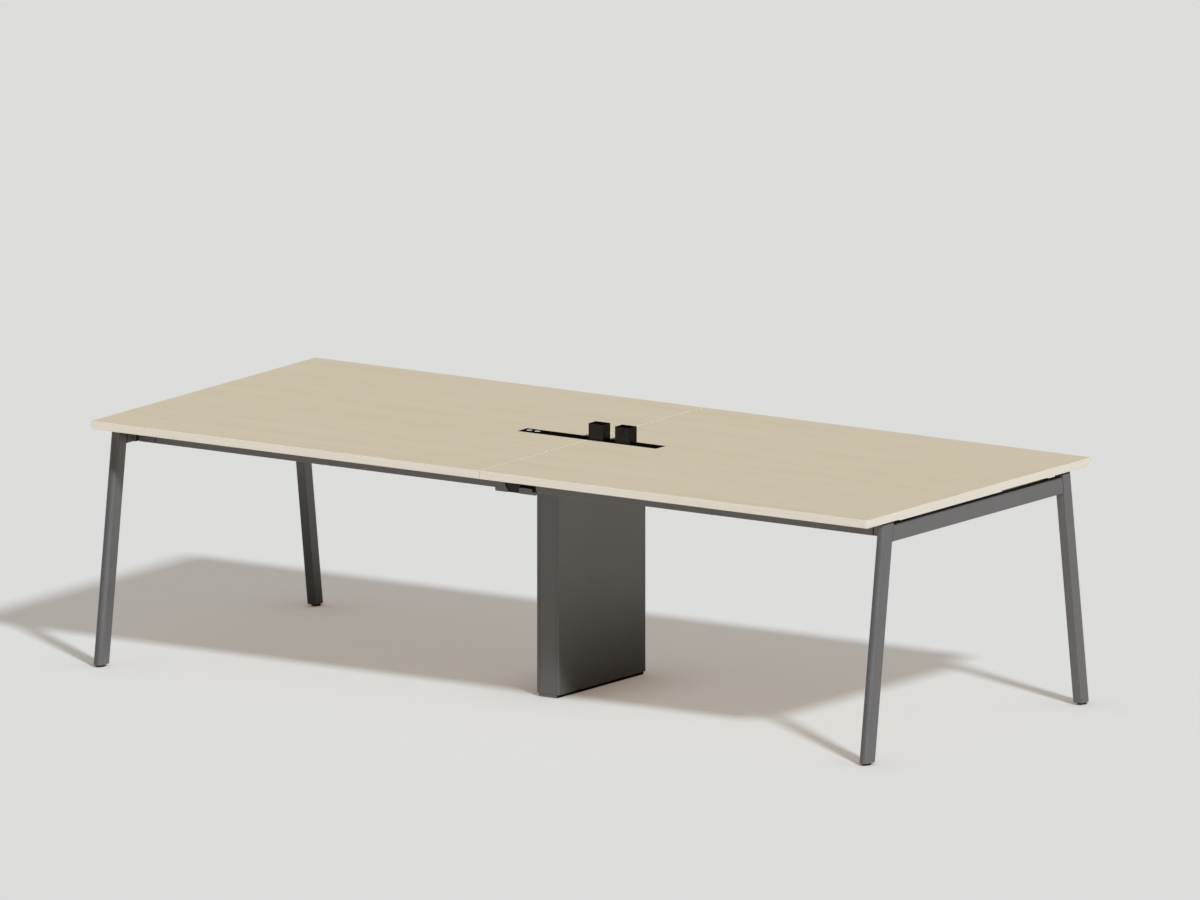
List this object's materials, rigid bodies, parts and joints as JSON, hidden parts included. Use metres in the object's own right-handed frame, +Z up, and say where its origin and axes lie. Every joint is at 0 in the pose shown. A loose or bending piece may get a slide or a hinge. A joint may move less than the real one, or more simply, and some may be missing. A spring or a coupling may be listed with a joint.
{
  "type": "conference table",
  "caption": "Rectangular conference table with a two-board pale oak top on a grey steel frame with splayed D-section legs, a central cable column and a flush power track with sliding sockets.",
  "frame": {"origin": "on the floor, under the middle of the table top", "axes": "+X along the table's length, +Y across it to the rear side, +Z up"},
  "size_m": [2.8, 1.2042, 0.8],
  "materials": {
    "oak_laminate": "matt pale oak laminate, fine grain along the table",
    "edge_band": "satin pale edge band",
    "powder_coat_grey": "fine-textured matt grey powder coat",
    "black_steel": "matt black paint",
    "black_anodised": "satin black anodised",
    "black_plastic": "fine-textured moulded black",
    "white_plastic": "satin moulded white"
  },
  "bodies": {
    "table": {"top_panel_left": "oak_laminate", "top_panel_right": "oak_laminate", "edge_band_left": "edge_band", "edge_band_right": "edge_band", "leg_front_left": "powder_coat_grey", "rail_connector_front_left": "powder_coat_grey", "side_rail_front_left": "powder_coat_grey", "leg_top_pad_front_left": "black_plastic", "leg_foot_plug_front_left": "black_plastic", "rail_spacer_front_left": "black_steel", "leg_front_right": "powder_coat_grey", "rail_connector_front_right": "powder_coat_grey", "side_rail_front_right": "powder_coat_grey", "leg_top_pad_front_right": "black_plastic", "leg_foot_plug_front_right": "black_plastic", "rail_spacer_front_right": "black_steel", "leg_rear_left": "powder_coat_grey", "rail_connector_rear_left": "powder_coat_grey", "side_rail_rear_left": "powder_coat_grey", "leg_top_pad_rear_left": "black_plastic", "leg_foot_plug_rear_left": "black_plastic", "rail_spacer_rear_left": "black_steel", "leg_rear_right": "powder_coat_grey", "rail_connector_rear_right": "powder_coat_grey", "side_rail_rear_right": "powder_coat_grey", "leg_top_pad_rear_right": "black_plastic", "leg_foot_plug_rear_right": "black_plastic", "rail_spacer_rear_right": "black_steel", "crossbar_left": "powder_coat_grey", "crossbar_right": "powder_coat_grey", "mid_beam": "powder_coat_grey", "mid_casting_front": "powder_coat_grey", "rail_tongue_front": "black_steel", "seam_block_front": "black_steel", "column_post_front": "black_steel", "mid_casting_rear": "powder_coat_grey", "rail_tongue_rear": "black_steel", "seam_block_rear": "black_steel", "column_post_rear": "black_steel", "column_shell_left": "powder_coat_grey", "column_shell_right": "powder_coat_grey", "column_plinth": "powder_coat_grey", "power_track": "black_anodised", "track_port_block": "black_plastic", "track_end_cap": "black_plastic", "track_cable_gland": "black_plastic", "charging_port_1": "white_plastic", "charging_port_2": "white_plastic"},
    "glide_front_left": {"leg_glide_front_left": "black_plastic"},
    "glide_front_right": {"leg_glide_front_right": "black_plastic"},
    "glide_rear_left": {"leg_glide_rear_left": "black_plastic"},
    "glide_rear_right": {"leg_glide_rear_right": "black_plastic"},
    "cover_front": {"column_cover_front": "powder_coat_grey"},
    "cover_rear": {"column_cover_rear": "powder_coat_grey"},
    "carriage_left": {"socket_carriage_left": "black_plastic"},
    "socket_left": {"socket_housing_left": "black_plastic", "socket_faceplate_left": "black_plastic"},
    "carriage_right": {"socket_carriage_right": "black_plastic"},
    "socket_right": {"socket_housing_right": "black_plastic", "socket_faceplate_right": "black_plastic"}
  },
  "joints": [
    {"name": "socket_slide_left", "type": "slide", "parent": "table", "child": "carriage_left", "axis": [1, 0, 0], "range_m": [-0.172, 0.01]},
    {"name": "socket_twist_left", "type": "hinge", "parent": "carriage_left", "child": "socket_left", "pos_m": [0.024, 0.008, 0.75], "axis": [0, 0, 1], "range_deg": [0, 90]},
    {"name": "socket_slide_right", "type": "slide", "parent": "table", "child": "carriage_right", "axis": [1, 0, 0], "range_m": [-0.01, 0.094]},
    {"name": "socket_twist_right", "type": "hinge", "parent": "carriage_right", "child": "socket_right", "pos_m": [0.1195, 0.008, 0.75], "axis": [0, 0, 1], "range_deg": [0, 90]},
    {"name": "cover_pull_front", "type": "slide", "parent": "table", "child": "cover_front", "axis": [0, -1, 0], "range_m": [0, 0.06]},
    {"name": "cover_pull_rear", "type": "slide", "parent": "table", "child": "cover_rear", "axis": [0, 1, 0], "range_m": [0, 0.06]},
    {"name": "glide_screw_front_left", "type": "slide", "parent": "table", "child": "glide_front_left", "axis": [0, 0, -1], "range_m": [0, 0.012]},
    {"name": "glide_screw_front_right", "type": "slide", "parent": "table", "child": "glide_front_right", "axis": [0, 0, -1], "range_m": [0, 0.012]},
    {"name": "glide_screw_rear_left", "type": "slide", "parent": "table", "child": "glide_rear_left", "axis": [0, 0, -1], "range_m": [0, 0.012]},
    {"name": "glide_screw_rear_right", "type": "slide", "parent": "table", "child": "glide_rear_right", "axis": [0, 0, -1], "range_m": [0, 0.012]}
  ]
}
